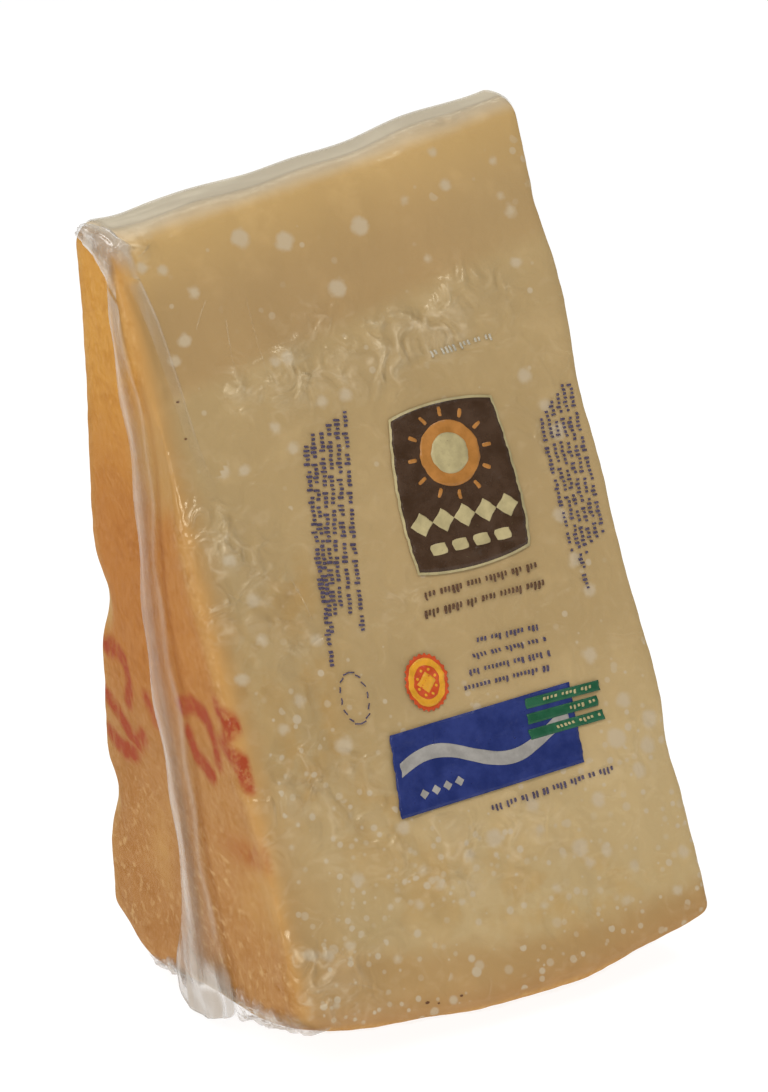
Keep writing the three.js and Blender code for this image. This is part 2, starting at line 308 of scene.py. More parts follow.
def ridges(points, size, seed=0.0, stretch=(1, 1, 1), sharp=6):
    """Crested folds from 0 to 1."""
    return (1 - np.abs(cloud(points, size, seed, stretch))) ** sharp


def wheel_place(points):
    """Each point's place in the wheel: x, radius, and angle as a share from -1 on the front cut to 1."""
    x, y, z = points.T
    down = WHEEL_RADIUS - z
    return x, np.hypot(y, down), np.arctan2(y, down) / HALF_ANGLE


def below_fold(x, radius):
    return radius - FOLD_RADIUS - FOLD_SLOPE * x


def patches(across, down, table):
    """Soft patches, each given as its place and its reach both ways, and its strength."""
    field = 0
    for middle, low, wide, high, strength in table:
        field += strength * bump(np.hypot((across - middle) / wide, (down - low) / high))
    return field


def puckered(points):
    """Where the film is finely puckered, from 0 to 1."""
    x, radius, angle = wheel_place(points)
    front = smooth(-angle, 0.75, 0.95)
    below = below_fold(x, radius)
    field = 0.3 * bump((below - 6.5) / 7) * smooth(x, -38, -24) * smooth(x, 48, 30)
    field += patches(x, radius, PUCKERS)
    patchy = smooth(cloud(points, 9, 21.3), -0.45, 0.25)
    field = field * (0.3 + 0.7 * patchy) + 0.16 * smooth(below, 0, 8)
    loose = 0.1 + 0.4 * smooth(cloud(points, 24, 8.1), 0.05, 0.6) * smooth(x, -48, -40)
    return np.clip(field * front + loose * (1 - front), 0, 1)


def wrinkles(points):
    """Heights of the film's soft wrinkles, as shares of their full height."""
    x, radius, angle = wheel_place(points)
    front = smooth(-angle, 0.75, 0.95)
    below = below_fold(x, radius)
    loose = 0.2 + 0.8 * front * smooth(below, -1, 5)
    fold = bump(below / 1.6) * front
    fine = ridges(points, 9, 3.1) * 0.55 + ridges(points, 17, 7.7, (1.3, 1, 0.8)) * 0.7
    calm = smooth(cloud(points, 30, 11.3), -0.35, 0.3)
    crinkle = 0.6 * ridges(points, 6.5, 5.9, sharp=3.5) + 0.25 * cloud(points, 4.5, 15.1)
    return loose * fine * calm + puckered(points) * crinkle + 0.45 * fold


def paced(raw, axis):
    """Turns a fine grid's position into the wedge rule's own."""
    fine = FINE_EDGES[axis]
    rule = RULE_EDGES[axis]
    size = np.abs(raw)
    inside = size * (1 - rule) / (1 - fine)
    outside = 1 - rule + (size - 1 + fine) * rule / fine
    return np.sign(raw) * np.where(size <= 1 - fine, inside, outside)


def spread(t, axis, share):
    edge = RULE_EDGES[axis]
    inner = 1 - edge
    flat = t / inner * (1 - share)
    curved = np.sign(t) * (1 - share + share * (np.abs(t) - inner) / edge)
    return np.where(np.abs(t) <= inner, flat, curved)


def wedge_surface(grid):
    """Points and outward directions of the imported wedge, for positions from -1 to 1 on a box."""
    u, v, up = (paced(grid[:, axis], axis) for axis in range(3))
    w = -up
    length_half = (WHEEL_RADIUS - tip_radius(0.0)) / 2
    heel = smooth(-u, *HEEL_FADE) * smooth(w, *HEEL_FADE)
    x_share = lerp(EDGE_ROUND, HEEL_ROUND, heel) / HALF_WIDTH
    end_round = np.where(w < 0, TIP_ROUND, EDGE_ROUND)
    radius_share = lerp(end_round, HEEL_ROUND, heel) / length_half
    side_half = lerp(tip_radius(0.0), WHEEL_RADIUS, (w + 1) / 2) * HALF_ANGLE
    angle_share = np.minimum(EDGE_ROUND / side_half, SIDE_ROUND)
    shares = np.stack([x_share, angle_share, radius_share], -1)
    spot = np.stack([spread(t, axis, shares[:, axis]) for axis, t in enumerate((u, v, w))], -1)
    core = np.clip(spot, shares - 1, 1 - shares)
    away = (spot - core) / shares
    away /= np.linalg.norm(away, axis=1, keepdims=True)
    rounded = core + shares * away

    x = rounded[:, 0] * HALF_WIDTH
    radius = lerp(tip_radius(x), barrel_radius(x), (rounded[:, 2] + 1) / 2)
    angle = rounded[:, 1] * HALF_ANGLE
    swell = TIP_CROWN * (1 - rounded[:, 1] ** 2) + TIP_SLOPE * (rounded[:, 1] + 1) / 2
    points = wheel_point(x, radius - swell * smooth(-rounded[:, 2], TIP_FADE, 1), angle)
    zero = np.zeros_like(angle)
    across = np.stack([zero, np.cos(angle), np.sin(angle)], -1)
    outward = np.stack([zero, np.sin(angle), -np.cos(angle)], -1)
    normals = across * away[:, 1:2] + outward * away[:, 2:3]
    normals[:, 0] += away[:, 0]
    return points + normals * relief(points)[:, None], normals


def film_height(points):
    """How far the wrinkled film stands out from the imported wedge's surface."""
    return wrinkles(points) * settings("film").wrinkle / MM - FILM_SUNK


def film_surface(grid):
    """Points of the wrinkled film over the wedge."""
    points, normals = wedge_surface(grid)
    points = points + normals * film_height(points)[:, None]
    points[:, 2] = np.maximum(points[:, 2], FLAT_DEPTH)
    return points


FRONT_NORMAL = np.array([0, -math.cos(HALF_ANGLE), math.sin(HALF_ANGLE)])


def on_front(x, radius, lift):
    """Points on the film over the front cut."""
    points = wheel_point(np.asarray(x, float), np.asarray(radius, float), -HALF_ANGLE)
    return points + FRONT_NORMAL * (relief(points) + film_height(points) + lift)[:, None]


def settings(kind):
    return getattr(bpy.context.scene, "cheese_" + kind)


# ---- meshes


def linked(name, data):
    """An object in the scene that holds the data."""
    thing = bpy.data.objects.new(name, data)
    bpy.context.scene.collection.objects.link(thing)
    return thing


def block(steps):
    """A box from -1 to 1 whose sides are cut into a grid."""
    bm = bmesh.new()
    bmesh.ops.create_cube(bm, size=2)
    for axis, count in enumerate(steps):
        along = [e for e in bm.edges if abs(e.verts[0].co[axis] - e.verts[1].co[axis]) > 1e-6]
        if count > 1:
            bmesh.ops.subdivide_edges(bm, edges=along, cuts=count - 1, use_grid_fill=True)
    return bm


def rod(sides, steps):
    """A closed rod of radius 1 from -1 to 1 along Z, cut into rings."""
    bm = bmesh.new()
    bmesh.ops.create_cone(bm, cap_ends=True, segments=sides, radius1=1, radius2=1, depth=2)
    along = [e for e in bm.edges if abs(e.verts[0].co.z - e.verts[1].co.z) > 1e-6]
    bmesh.ops.subdivide_edges(bm, edges=along, cuts=steps - 1, use_grid_fill=True)
    return bm


def ball(across, down):
    bm = bmesh.new()
    bmesh.ops.create_uvsphere(bm, u_segments=across, v_segments=down, radius=1)
    return bm


def positions(mesh):
    values = np.empty(len(mesh.vertices) * 3)
    mesh.vertices.foreach_get("co", values)
    return values.reshape(-1, 3)


def placed(name, bm, places):
    """A mesh with one copy of the shape for each place, a function from grid positions to millimetres.

    A place that also gives the film's milkiness has it painted on.
    """
    template = bpy.data.meshes.new(name + "_template")
    bm.to_mesh(template)
    bm.free()
    grid = positions(template)
    copies = bmesh.new()
    for _ in places:
        copies.from_mesh(template)
    mesh = bpy.data.meshes.new(name)
    copies.to_mesh(mesh)
    copies.free()
    bpy.data.meshes.remove(template)
    made = [place(grid) for place in places]
    milk = None
    if isinstance(made[0], tuple):
        milk = np.concatenate([part[1] for part in made])
        made = [part[0] for part in made]
    points = np.concatenate(made)
    mesh.vertices.foreach_set("co", ((points + FRAME_SHIFT) * MM).ravel())
    face_outward(mesh)
    if milk is not None:
        paint(mesh, milk=milk)
    return mesh, points


def face_outward(mesh):
    bm = bmesh.new()
    bm.from_mesh(mesh)
    bmesh.ops.recalc_face_normals(bm, faces=bm.faces)
    bm.to_mesh(mesh)
    bm.free()
    mesh.shade_smooth()


def paint(mesh, **layers):
    for name, values in layers.items():
        layer = mesh.attributes.new(name, "FLOAT", "POINT")
        layer.data.foreach_set("value", np.broadcast_to(values, len(mesh.vertices)).astype(np.float32))


def paint_colour(mesh, name, colours):
    layer = mesh.attributes.new(name, "FLOAT_COLOR", "POINT")
    full = np.concatenate([colours, np.ones((len(colours), 1))], 1)
    layer.data.foreach_set("color", full.astype(np.float32).ravel())


def add_piece(name, mesh, material):
    if not mesh.vertices:
        raise RuntimeError(name + " came out empty")
    piece = linked(name, mesh)
    mesh.materials.append(material)
    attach(piece, BODY)
    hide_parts(NODE)


# ---- finishes


class Finish:
    """A node material in the making."""

    def __init__(self, name):
        self.material = bpy.data.materials.new(name)
        self.material.use_nodes = True
        self.tree = self.material.node_tree
        self.tree.nodes.clear()
        self.object = self.node("TexCoord").outputs["Object"]

    def node(self, kind, values=None, **options):
        made = self.tree.nodes.new("ShaderNode" + kind)
        for key, value in options.items():
            setattr(made, key, value)
        for key, value in (values or {}).items():
            socket = made.inputs[key]
            if isinstance(value, bpy.types.NodeSocket):
                self.tree.links.new(value, socket)
            else:
                socket.default_value = (*value, 1)[:4] if socket.type == "RGBA" else value
        return made

    def math(self, operation, a, b=0.0, clamp=False):
        return self.node("Math", {0: a, 1: b}, operation=operation, use_clamp=clamp).outputs[0]

    def times(self, a, b, clamp=False):
        return self.math("MULTIPLY", a, b, clamp)

    def ridge(self, value, middle, wide, height=1.0):
        """A soft peak where the value passes the middle."""
        away = self.math("ABSOLUTE", self.math("SUBTRACT", value, middle))
        return self.band(away, wide, 0.0, 0.0, height)

    def band(self, value, low, high, to_low=0.0, to_high=1.0):
        values = {"Value": value, "From Min": low, "From Max": high, "To Min": to_low, "To Max": to_high}
        return self.node("MapRange", values, interpolation_type="SMOOTHSTEP").outputs[0]

    def mix(self, factor, a, b, blend="MIX"):
        return self.node("Mix", {0: factor, 6: a, 7: b}, data_type="RGBA", blend_type=blend).outputs[2]

    def toned(self, factor, base, tint, tone):
        """The base, with the tint multiplied by a tone mixed over it."""
        return self.mix(factor, base, self.mix(1.0, tint, tone, "MULTIPLY"))

    def stretched(self, scale, turn=(0, 0, 0)):
        return self.node("Mapping", {"Vector": self.object, "Scale": scale, "Rotation": turn}).outputs[0]

    def noise(self, scale, detail=3.0, rough=0.5, distortion=0.0, vector=None):
        values = {"Vector": vector or self.object, "Scale": scale, "Detail": detail, "Roughness": rough}
        return self.node("TexNoise", {**values, "Distortion": distortion}).outputs[0]

    def spots(self, scale):
        node = self.node("TexVoronoi", {"Vector": self.object, "Scale": scale})
        return node.outputs["Distance"], node.outputs["Color"]

    def painted(self, name, output="Fac"):
        return self.node("Attribute", attribute_name=name).outputs[output]

    def bumped(self, height, distance, strength=1.0, normal=None):
        values = {"Height": height, "Distance": distance, "Strength": strength}
        if normal:
            values["Normal"] = normal
        return self.node("Bump", values).outputs[0]

    def shade(self, **values):
        named = {key.replace("_", " "): value for key, value in values.items()}
        return self.node("BsdfPrincipled", named).outputs[0]

    def through(self, cover, shader):
        clear = self.node("BsdfTransparent").outputs[0]
        return self.node("MixShader", {0: cover, 1: clear, 2: shader}).outputs[0]

    def end(self, shader):
        self.node("OutputMaterial", {"Surface": shader})
        return self.material


# The first tone darkens the paste at random in broad mottling, and is also painted shade on the flanks of the
# film's puckers
MOTTLE_AND_SHADE = (0.86, 0.85, 0.82)  # tones that multiply the paste's and the rind's colour
WORN = (0.82, 0.72, 0.55)


def cheese_finish():
    look = settings("cheese")
    f = Finish("cheese_paste_and_rind")
    broad = f.noise(26, 2)
    mottled = f.noise(95, 4, 0.6)
    grain = f.noise(700, 3, 0.65)
    tint = f.painted("tint", "Color")
    paste = f.toned(f.band(broad, 0.38, 0.66, 0, 0.45), tint, tint, MOTTLE_AND_SHADE)
    paste = f.toned(f.band(mottled, 0.5, 0.72, 0, 0.6), paste, tint, (1.12, 1.13, 1.16))
    crumb = f.times(f.painted("crumb"), f.band(mottled, 0.42, 0.6, 0, 0.8))
    paste = f.toned(crumb, paste, tint, (0.9, 0.8, 0.62))
    pucker = f.painted("pucker")
    crinkle = f.noise(150, 1.2, 0.45, 1.3)
    # Painted light where the film puckers: the flanks are darkened as painted shade, and the crests get cream
    # painted highlights
    crest_highlight = f.times(f.ridge(crinkle, 0.53, 0.1), f.band(f.noise(260, 2), 0.47, 0.66))
    paste = f.toned(f.times(pucker, f.band(crinkle, 0.5, 0.34, 0, 0.45)), paste, tint, MOTTLE_AND_SHADE)
    paste = f.mix(f.times(pucker, f.times(crest_highlight, 0.55), True), paste, linear(206, 184, 150))
    dotted = f.painted("dotted")
    white = None
    for scale, wide in ((150, 0.12), (260, 0.26), (450, 0.34)):
        distance, cell = f.spots(scale)
        parts = f.node("SeparateColor", {0: cell})
        chosen = f.band(f.math("ADD", parts.outputs[0], dotted), 1.0, 1.12)
        reach = f.math("SUBTRACT", distance, f.times(parts.outputs[1], wide))
        dot = f.times(f.band(reach, 0.11, 0.0), chosen)
        dot = f.times(dot, f.band(parts.outputs[2], 0.1, 0.8, 0.65, 1.1))
        white = f.math("MAXIMUM", white, dot) if white else dot
    ragged = f.math("ADD", f.painted("crystal"), f.band(f.noise(420, 3), 0.25, 0.75, -0.35, 0.35))
    white = f.math("MAXIMUM", f.times(white, 0.8), f.band(ragged, -0.6, 0.8, 0, 0.8))
    paste = f.mix(white, paste, look.crystal)

    streaks = f.noise(90, 5, 0.65, 0.4, f.stretched((1, 1.0, 2.2)))
    rind = f.toned(f.band(streaks, 0.42, 0.72, 0, 0.75), tint, tint, WORN)
    rind = f.toned(f.band(grain, 0.48, 0.7, 0, 0.75), rind, tint, (1.12, 1.22, 1.5))
    rind = f.toned(f.band(f.noise(420, 2, 0.6), 0.5, 0.75, 0, 0.6), rind, tint, WORN)
    flecks = f.noise(420, 2.5, 0.6, 0.2, f.stretched((1, 0.85, 1.2), (0.6, 0, 0)))
    speckled = f.times(f.band(flecks, 0.52, 0.73, 0, 0.75), f.painted("speckle"))
    rind = f.mix(speckled, rind, linear(208, 170, 116))
    tinted = f.mix(f.painted("rind"), paste, rind)
    smeared = f.times(f.painted("ink"), f.band(f.noise(360, 4, 0.75), 0.34, 0.56, 0.55, 1.3), True)
    tinted = f.mix(smeared, tinted, look.ink)
    smudged = f.times(f.painted("smudge"), f.band(grain, 0.4, 0.6, 0.5, 1.0))
    tinted = f.mix(smudged, tinted, tuple(c * k for c, k in zip(look.rind, (0.82, 0.66, 0.7))))

    normal = f.bumped(grain, 0.00012, 0.3)
    normal = f.bumped(mottled, 0.0012, 0.4, normal)
    normal = f.bumped(f.times(crinkle, pucker), 0.004, 0.6, normal)
    shader = f.shade(
        Base_Color=tinted,
        Roughness=f.band(grain, 0.3, 0.7, 0.5, 0.72),
        Specular_IOR_Level=0.0,
        Subsurface_Weight=0.1,
        Subsurface_Radius=(0.8, 0.62, 0.42),
        Subsurface_Scale=0.0015,
        Normal=normal,
    )
    return f.end(shader)


def clear_film(name):
    """Clear film: see-through, with reflections only. Puckers catch the light and spread it."""
    look = settings("film")
    f = Finish(name)
    pucker = f.painted("pucker")
    normal = f.bumped(f.noise(150, 4, 0.55, 0.6), 0.0007, 0.3)
    crinkle = f.noise(150, 1.2, 0.45, 1.3)
    normal = f.bumped(f.times(crinkle, pucker), 0.004, 0.8, normal)
    facing = f.node("LayerWeight", {"Blend": 0.5, "Normal": normal}).outputs["Facing"]
    gloss = f.times(f.math("POWER", facing, 5.0), 0.07)
    crests = f.times(pucker, f.band(crinkle, 0.4, 0.65, 0.03, 0.1))
    cover = f.math("ADD", f.math("ADD", gloss, crests), 0.013, True)
    shader = f.shade(
        Base_Color=linear(253, 244, 218),
        Metallic=1.0,
        Roughness=f.band(pucker, 0.1, 0.8, look.roughness, 0.42),
        Normal=normal,
    )
    return f.end(f.through(cover, shader))


def milky_film(name, colour, low, high, streak, scale, relief, gloss=0.5, creased=0.0, rough=0.22):
    """Doubled or crumpled film, milky in streaks, and as milky as it is painted."""
    f = Finish(name)
    lines = f.noise(scale, 2.5, 0.5, 0.6, f.stretched(streak))
    patches = f.noise(140, 3, 0.55)
    streaked = f.times(f.band(lines, 0.3, 0.72), f.band(patches, 0.25, 0.7, 0.55, 1.1))
    cover = f.band(streaked, 0.0, 1.0, low, high)
    crumple = f.noise(260, 3, 0.55, 1.2)
    if creased:
        cover = f.math("ADD", cover, f.ridge(crumple, 0.5, 0.035, creased))
    cover = f.times(cover, f.painted("milk"), True)
    bright = tuple(min(c * 1.1, 1) for c in colour)
    dull = tuple(c * 0.92 for c in colour)
    tone = f.mix(f.band(lines, 0.35, 0.7), dull, bright)
    tone = f.toned(f.band(f.painted("milk"), 1.15, 1.7), tone, tone, (0.72, 0.68, 0.65))
    normal = f.bumped(lines, 0.0005, relief)
    normal = f.bumped(crumple, 0.0012, relief, normal)
    shader = f.shade(
        Base_Color=tone, Roughness=rough, Specular_IOR_Level=gloss, Coat_Weight=gloss, Coat_Roughness=0.1,
        Normal=normal,
    )
    return f.end(f.through(cover, shader))


def ink_finish(name, colour, cover=0.93):
    """Printed ink, a little uneven and worn."""
    f = Finish(name)
    uneven = f.noise(260, 4, 0.6)
    darker = tuple(c * 0.85 for c in colour)
    lighter = tuple(min(c * 1.2 + 0.012, 1) for c in colour)
    tone = f.mix(f.band(uneven, 0.25, 0.75), darker, lighter)
    worn = f.band(f.noise(700, 4, 0.7), 0.24, 0.36, cover * 0.55, cover)
    normal = f.bumped(f.noise(240, 5, 0.62, 0.8), 0.0008, 0.5)
    shader = f.shade(Base_Color=tone, Roughness=0.24, Specular_IOR_Level=0.25, Normal=normal)
    return f.end(f.through(worn, shader))


# ---- cheese


def ink_distance(y, z):
    """How far each point lies from the nearest stroke of ink."""
    nearest = np.full(len(y), np.inf)
    for (y0, z0), (y1, z1) in (pair for stroke in INK_STROKES for pair in zip(stroke, stroke[1:])):
        length = (y1 - y0) ** 2 + (z1 - z0) ** 2
        share = np.clip(((y - y0) * (y1 - y0) + (z - z0) * (z1 - z0)) / length, 0, 1)
        nearest = np.minimum(nearest, np.hypot(y - lerp(y0, y1, share), z - lerp(z0, z1, share)))
    return nearest


def crumbly(points):
    """Where the paste is crumbly, from 0 to 1."""
    x, radius, angle = wheel_place(points)
    return np.clip(patches(x, radius, CRUMB_PATCHES), 0, 1) * smooth(-angle, 0.8, 0.97)


def cheese_depth(points):
    """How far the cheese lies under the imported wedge's surface. It is tight under the film at the tip."""
    pitted = smooth(cloud(points, 5.2, 4.4), 0.0, 0.55) + smooth(cloud(points, 2.6, 9.1), 0.1, 0.6) * 0.45
    rough = 0.16 * cloud(points, 6, 2.2) + 0.1 * cloud(points, 2.4, 5.2)
    x, radius, _ = wheel_place(points)
    tight = smooth(radius - tip_radius(x), 7, 2)
    gap = settings("film").clearance / MM
    return gap * (1 - 0.7 * tight) + CHEESE_SUNK - rough * (1 - tight) + crumbly(points) * pitted


def wing_edge(radius):
    """Where the right edge of the fold down the front cut lies."""
    return np.interp(radius, (34, 46, 58, 72, 90, 102), (-47.4, -47.2, -44.8, -42.9, -41.4, -39.6))


def layered(colour, *layers):
    """A colour with each further one mixed over it, by its share at each point."""
    for over, share in layers:
        colour = lerp(colour, np.array(over), np.clip(share, 0, 1)[:, None])
    return colour


def cheese_tint(points):
    """The paste's and the rind's colour at each point, with painted highlights and shadows laid in, and how
    much of it is rind.
    """
    look = settings("cheese")
    _, y, z = points.T
    x, radius, angle = wheel_place(points)
    inset = settings("film").clearance / MM + CHEESE_SUNK
    heel = barrel_radius(x) - radius - inset
    side = x + HALF_WIDTH - inset
    down = radius - tip_radius(x)
    cut = radius * np.sin(HALF_ANGLE * (1 - np.abs(angle))) - inset
    ragged = cloud(points, 9, 1.7) * 0.5 + cloud(points, 3, 6.6) * 0.3
    width = 13 - 5 * x / HALF_WIDTH + 3 * ragged
    colours = layered(
        np.array(look.paste),
        (look.paste_warm, smooth(below_fold(x, radius), 3, -3) * lerp(1, 0.65, smooth(x, 18, 42))),
        (look.paste_low, smooth(radius, 140, 180) * (0.45 + 0.55 * smooth(x, -32, 12))),
        (look.paste_deep, smooth(heel, width + 3.5, width - 3.5)),
        (look.paste_deep, smooth(side + 2 * ragged, 9, 3)),
        (look.paste_deep, 0.65 * smooth(side + 3 * ragged, 20, 6) * smooth(radius, 150, 190)),
        # painted highlight towards the tip's edge
        (look.tip_edge_highlight, smooth(down + 2 * ragged, 24, -6)),
        (look.rim, bump(heel / 4.5) * lerp(1, 0.75, smooth(x, 0, 45))),
        # painted highlight along the rounded corner where the front cut meets the rind
        (look.edge_highlight, bump(np.maximum(side - 0.5, 0) / 2.6)),
        (look.tip, smooth(down + ragged, 3.4, 0) * (0.55 + 0.45 * smooth(angle, -0.95, -0.1))),
    )
    # Painted shadow along the left border of the fold that runs down the front cut
    wing_shadow = bump((x - wing_edge(radius) + WING_WIDTH + 0.3) / 0.7) * smooth(angle, -0.8, -0.95)
    colours *= 1 - 0.12 * (wing_shadow * smooth(radius, 95, 60))[:, None]

    rind = smooth(np.minimum(side, heel) + ragged * 0.6, 1.5, 0.2)
    # Painted light on the rind: lighter towards the front and near the cut faces
    lit = 0.2 * smooth(-y, 0, 25) + 0.75 * bump(np.maximum(cut - 0.5, 0) / 3.2)
    outer = layered(
        np.array(look.rind),
        (look.rind_top, smooth(z, 112, 165)),
        (look.rind_low, smooth(z, 88, 62)),
        (look.edge_highlight, lit),
    )
    colours = lerp(colours, outer, rind[:, None])
    middle, width, _ = seam_span(z)
    # Painted shadow: a dark orange line beside the seam's front edge, where the raised fold would cast it
    seam_shadow = bump((y - middle + width / 2 + 1.0) / 1.3) * smooth(side, 2.5, 1)
    seam_shadow *= smooth(z, 14, 24) * smooth(z, 160, 140)
    colours *= 1 - seam_shadow[:, None] * np.array((0.22, 0.32, 0.4))
    return colours, rind


def crystal_field(points):
    """How far inside the nearest large crystal each point of the cut faces lies."""
    y = points[:, 1]
    x, radius, angle = wheel_place(points)
    front, back, side = (np.full(len(points), NO_CRYSTAL) for _ in range(3))
    for index, (middle_x, middle, size) in enumerate(LARGE_CRYSTALS):
        front = np.maximum(front, size - np.hypot(x - middle_x, radius - middle))
        if index % 2:
            back = np.maximum(back, size - np.hypot(x + middle_x * 0.9, radius - middle * 0.96 - 5))
        else:
            middle_y = middle_x * middle / WHEEL_RADIUS
            side = np.maximum(side, size - np.hypot(y - middle_y, radius - middle * 0.98))
    field = np.where(angle < -CUT_SHARE, front, np.where(angle > CUT_SHARE, back, NO_CRYSTAL))
    return np.where((x > HALF_WIDTH - 4) & (np.abs(angle) < CUT_SHARE), side, field)


def build_cheese():
    def place(grid):
        points, normals = wedge_surface(grid)
        points = points - normals * cheese_depth(points)[:, None]
        points[:, 2] = np.maximum(points[:, 2], FLAT_DEPTH + settings("film").clearance / MM)
        return points

    mesh, points = placed("cheese_chunk", block(FINE_STEPS), [place])
    _, y, z = points.T
    x, radius, _ = wheel_place(points)
    colours, rind = cheese_tint(points)
    paint_colour(mesh, "tint", colours)
    dotted = 0.1 + 0.7 * smooth(radius, 125, 180) * lerp(1, 0.7, smooth(x, -15, 35))
    dotted *= 0.6 + 0.4 * smooth(cloud(points, 18, 12.2), -0.3, 0.3)
    dotted *= smooth(radius, 219, 214) * smooth(x, -HALF_WIDTH + 3, -HALF_WIDTH + 8)
    speckle = smooth(z, 80, 35) * 0.8 * smooth(cloud(points, 16, 4.9), -0.5, 0.3)
    speckle = np.maximum(speckle, 0.75 * smooth(z, 60, 38) * smooth(-y, 16, 26))
    face = smooth(-x, HALF_WIDTH - 3.5, HALF_WIDTH - 2)
    ink = smooth(ink_distance(y, z), INK_WIDTH * 1.8, INK_WIDTH * 0.5)
    ink *= face * (0.9 + 0.4 * cloud(points, 5, 8.8))
    paint(mesh, rind=rind, dotted=dotted, speckle=speckle, ink=ink, smudge=patches(y, z, [SMUDGE]) * face)
    paint(mesh, crumb=crumbly(points), crystal=crystal_field(points), pucker=puckered(points))
    add_piece("cheese_chunk", mesh, cheese_finish())


def build_specks():
    """A few dark specks on the paste, just under the film."""

    def place_at(x, radius, size):
        def place(grid):
            px = x + grid[:, 0] * size
            points = wheel_point(px, radius + grid[:, 1] * size * 0.6, -HALF_ANGLE)
            height = relief(points) - cheese_depth(points) + 0.12 + grid[:, 2] * 0.1
            return points + FRONT_NORMAL * height[:, None]

        return place

    mesh, _ = placed("cheese_specks", ball(10, 6), [place_at(*speck) for speck in SPECKS])
    add_piece("cheese_specks", mesh, ink_finish("cheese_speck", linear(104, 66, 38), 0.9))


# ---- film


def build_skin():
    mesh, points = placed("film_skin", block(FINE_STEPS), [film_surface])
    paint(mesh, pucker=puckered(points))
    add_piece("film_skin", mesh, clear_film("film_clear"))


def build_scratches():
    """Fine straight creases that stand up from the film."""
    rng = np.random.default_rng(77)

    def scratch(x, radius, end_x, end_radius):
        bend = rng.uniform(-0.5, 0.5)
        length = math.hypot(end_x - x, end_radius - radius)
        across_x, across_r = -(end_radius - radius) / length, (end_x - x) / length

        def place(grid):
            share = (grid[:, 2] + 1) / 2
            taper = np.sqrt(np.clip(1.02 - grid[:, 2] ** 2, 0, 1))
            side = bend * np.sin(share * math.pi) + grid[:, 0] * 0.16 * taper
            px = lerp(x, end_x, share) + across_x * side
            pr = lerp(radius, end_radius, share) + across_r * side
            return on_front(px, pr, 0.02 + grid[:, 1] * 0.09 * taper)

        return place

    mesh, _ = placed("film_scratches", rod(6, 24), [scratch(*row) for row in SCRATCHES])
    paint(mesh, pucker=0.6)
    add_piece("film_scratches", mesh, clear_film("film_scratch"))


def add_milky(name, steps, place, *looks, colour="haze"):
    """A closed piece of doubled, milky film."""
    mesh, _ = placed(name, block(steps), [place])
    finish = milky_film(name + "_milky", getattr(settings("film"), colour), *looks)
    add_piece(name, mesh, finish)


def seam_span(z):
    """The seam's middle and width at a height, and how far it has widened into its tab."""
    share = np.clip((SEAM_TOP - z) / (SEAM_TOP - SEAM_END), 0, 1)
    flare = smooth(SEAM_TAB_HEIGHT - z, *SEAM_TAB_FADE)
    middle = lerp(SEAM_END_Y, SEAM_TOP_Y, (1 - share) ** 2) + SEAM_TAB_SHIFT * flare
    return middle, lerp(lerp(SEAM_TOP_WIDTH, SEAM_LOW_WIDTH, share), SEAM_TAB_WIDTH, flare), flare


def seam_place(grid):
    u, v, w = grid.T
    share = lerp(0.03, 1, (1 - w) / 2)
    z = lerp(SEAM_TOP, SEAM_END, share)
    middle, width, flare = seam_span(z)
    end = np.sqrt(np.clip((z - SEAM_END) / SEAM_TAB_CURVE, 0, 1) + SEAM_TAB_TIP)
    width *= np.minimum(end, 1) * lerp(0.55, 1, smooth(share, 0, 0.14))
    waves = 2 * math.pi * SEAM_WRINKLES * share
    wrinkle = SEAM_WRINKLE * u * np.sin(waves) + TAB_WRINKLE * flare * np.sin(u * TAB_WRINKLES + waves)
    fall = np.clip((SEAM_TAB_HEIGHT - z) / (SEAM_TAB_HEIGHT - SEAM_END), 0, 1)
    rise = SEAM_TAB_RISE * fall * np.maximum(-u, 0) + 0.8 * fall + (0.6 + 2.0 * u) * smooth(share, 0.09, 0.03)
    points = np.stack([np.full(len(z), -HALF_WIDTH), middle + u * width / 2, z + rise], -1)
    edge = 1 - smooth(np.abs(u), 0.75, 1) * 0.55
    flutes = 0.12 * np.sin(u * 5 + 1.3 * np.sin(share * 9)) + 0.03 * np.sin(u * 13 + share * 13)
    crumple = 0.3 * cloud(points, 7, 2.9) + 0.14 * cloud(points, 2.6, 7.4) + 0.15 * ridges(points, 4, 1.1)
    crumple *= flare
    outer = lerp(SEAM_TOP_PROUD, SEAM_LOW_PROUD, share) * edge + wrinkle + flutes + crumple - 0.1
    inner = -lerp(0.2, 0.1, flare) + wrinkle * flare + crumple
    outer = lerp(inner, np.maximum(outer, inner + 0.25), lerp(0.4, 1, smooth(share, 0.034, 0.07)))
    points[:, 0] -= relief(points) + np.where(v > 0, outer, inner)
    folded = 0.14 + 0.86 * bump((u - 0.5) / 0.5) + 0.3 * bump((u + 0.9) / 0.08)
    folded = lerp(1.1, folded, smooth(share, 0.04, 0.15))
    folded *= lerp(0.95, 1.05, share) * smooth(share, 0.028, 0.036)
    folded = lerp(folded, 1.15, smooth(z, 21, 14))
    return points, np.where(v > 0, lerp(folded, 2.1, smooth(z, 12.5, 8)), 0)


def build_seam():
    add_milky("film_seam", (36, 1, 200), seam_place, 0.28, 0.56, (1, 1, 0.06), 170, 0.12)


